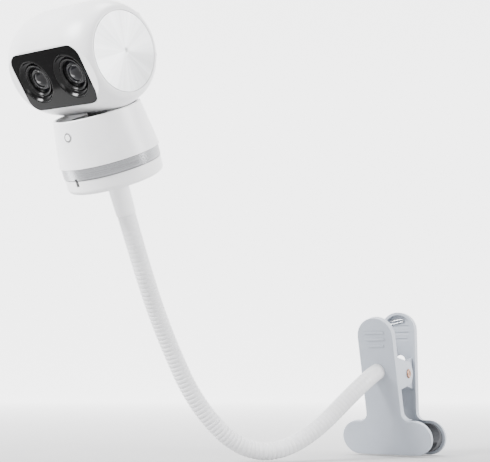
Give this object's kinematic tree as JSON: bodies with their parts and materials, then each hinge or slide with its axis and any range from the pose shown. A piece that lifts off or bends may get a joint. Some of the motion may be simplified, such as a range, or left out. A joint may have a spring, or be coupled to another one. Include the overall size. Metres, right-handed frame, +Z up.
{
  "type": "baby monitor camera",
  "caption": "Twin-lens pan and tilt camera on a bendable neck, with a sprung clamp that grips a round rail.",
  "frame": {"origin": "on the axis of the gripped rail, at the middle of the clamp", "axes": "+X along the rail, -Y towards the side the neck and camera stand on, +Z up"},
  "size_m": [0.185, 0.3566, 0.3186],
  "materials": {
    "jaw_plastic": "satin blue-grey moulded plastic",
    "pad_rubber": "dark grey matt rubber",
    "rivet": "copper-washed steel rivet",
    "spring_steel": "drawn spring wire",
    "steel": "plain steel",
    "neck_cover": "white ribbed soft plastic sleeve",
    "white_shell": "satin white moulded plastic",
    "silver": "brushed round the ring",
    "side_silver": "radially brushed",
    "dark_plastic": "matt black",
    "black_gloss": "polished black",
    "lens_cone": "satin black",
    "lens_glass": "dark coated glass",
    "gear_plastic": "natural acetal",
    "circuit_board": "solder mask green",
    "speaker_black": "matt black"
  },
  "bodies": {
    "clamp_front": {"front_jaw": "jaw_plastic", "front_pad": "pad_rubber", "pivot_pin": "rivet", "jaw_spring": "spring_steel", "neck_nut": "steel", "neck_sleeve_1": "neck_cover", "neck_core_1": "steel"},
    "clamp_rear": {"rear_jaw": "jaw_plastic", "rear_pad": "pad_rubber", "jaw_spring_leg": "spring_steel"},
    "neck_link_1": {"neck_sleeve_2": "neck_cover", "neck_core_2": "steel"},
    "neck_link_2": {"neck_sleeve_3": "neck_cover", "neck_core_3": "steel"},
    "neck_link_3": {"neck_sleeve_4": "neck_cover", "neck_core_4": "steel"},
    "neck_link_4": {"neck_sleeve_5": "neck_cover", "neck_core_5": "steel"},
    "camera_mount": {"neck_sleeve_6": "neck_cover", "neck_core_6": "steel", "neck_ferrule": "white_shell", "mount_tray": "white_shell", "tray_screw": "steel", "base_gasket": "dark_plastic", "base_plate": "dark_plastic", "silver_ring": "silver", "pan_spindle": "gear_plastic", "pan_sun_gear": "gear_plastic", "pan_retainer": "gear_plastic", "usb_port": "steel"},
    "camera_body": {"body_shell": "white_shell", "body_floor": "dark_plastic", "body_screws": "steel", "body_deck": "dark_plastic", "pan_motor": "steel", "main_board": "circuit_board", "speaker": "speaker_black", "card_slot": "steel", "button_switch": "circuit_board", "yoke": "dark_plastic", "tilt_motor": "steel"},
    "pan_drive": {"pan_pinion": "gear_plastic"},
    "tilt_drive": {"tilt_pinion": "gear_plastic"},
    "button_body": {"button": "white_shell"},
    "camera_head": {"head_front_shell": "white_shell", "head_rear_shell": "white_shell", "head_screws": "steel", "side_disc_right": "side_silver", "side_disc_left": "side_silver", "face_panel": "black_gloss", "lens_cone_right": "lens_cone", "lens_cone_left": "lens_cone", "lens_barrel_right": "dark_plastic", "lens_barrel_left": "dark_plastic", "lens_glass_right": "lens_glass", "lens_glass_left": "lens_glass", "sensor_board_right": "circuit_board", "sensor_board_left": "circuit_board", "tilt_gear": "gear_plastic", "tilt_axle": "steel"}
  },
  "joints": [
    {"name": "jaw", "type": "hinge", "parent": "clamp_front", "child": "clamp_rear", "pos_m": [0, -0.003, 0.0452], "axis": [1, 0, 0], "range_deg": [-8, 30], "stiffness_Nm_per_rad": 0.5, "springref_deg": -28.65},
    {"name": "neck_bend_1", "type": "hinge", "parent": "clamp_front", "child": "neck_link_1", "pos_m": [-0.0181, -0.07333, 0.01585], "axis": [0.8604, -0.4996, -0.1007], "range_deg": [-30, 30]},
    {"name": "neck_swing_1", "type": "hinge", "parent": "neck_link_1", "child": "neck_link_2", "pos_m": [-0.0494, -0.1162, -0.01365], "axis": [-0.0583, -0.1329, 0.9894], "range_deg": [-25, 25]},
    {"name": "neck_bend_2", "type": "hinge", "parent": "neck_link_2", "child": "neck_link_3", "pos_m": [-0.07665, -0.15, 0.001], "axis": [0.8295, -0.5379, 0.1502], "range_deg": [-30, 30]},
    {"name": "neck_swing_2", "type": "hinge", "parent": "neck_link_3", "child": "neck_link_4", "pos_m": [-0.0956, -0.17945, 0.0475], "axis": [0.353, 0.8043, 0.478], "range_deg": [-25, 25]},
    {"name": "neck_bend_3", "type": "hinge", "parent": "neck_link_4", "child": "camera_mount", "pos_m": [-0.09975, -0.20894, 0.09686], "axis": [0.938, -0.2383, -0.2517], "range_deg": [-30, 30]},
    {"name": "pan", "type": "hinge", "parent": "camera_mount", "child": "camera_body", "pos_m": [-0.098, -0.2649, 0.1968], "axis": [0, -0.4587, 0.8886], "range_deg": [-175, 175]},
    {"name": "pan_pinion_spin", "type": "hinge", "parent": "camera_body", "child": "pan_drive", "pos_m": [-0.1157, -0.25944, 0.19331], "axis": [0, -0.4587, 0.8886], "range_deg": [-702, 702]},
    {"name": "tilt", "type": "hinge", "parent": "camera_body", "child": "camera_head", "pos_m": [-0.098, -0.29632, 0.25767], "axis": [0.9836, -0.1604, -0.0828], "range_deg": [-40, 12]},
    {"name": "tilt_pinion_spin", "type": "hinge", "parent": "camera_body", "child": "tilt_drive", "pos_m": [-0.098, -0.28971, 0.24487], "axis": [0.9836, -0.1604, -0.0828], "range_deg": [-37, 121]},
    {"name": "button_press", "type": "slide", "parent": "camera_body", "child": "button_body", "axis": [0.1274, 0.9389, 0.3197], "range_m": [0, 0.0005], "stiffness_N_per_m": 1500, "springref_m": -0.0005}
  ],
  "couplings": [
    {"joint": "pan_pinion_spin", "follows": "pan", "ratio": 4},
    {"joint": "tilt_pinion_spin", "follows": "tilt", "ratio": -3}
  ]
}
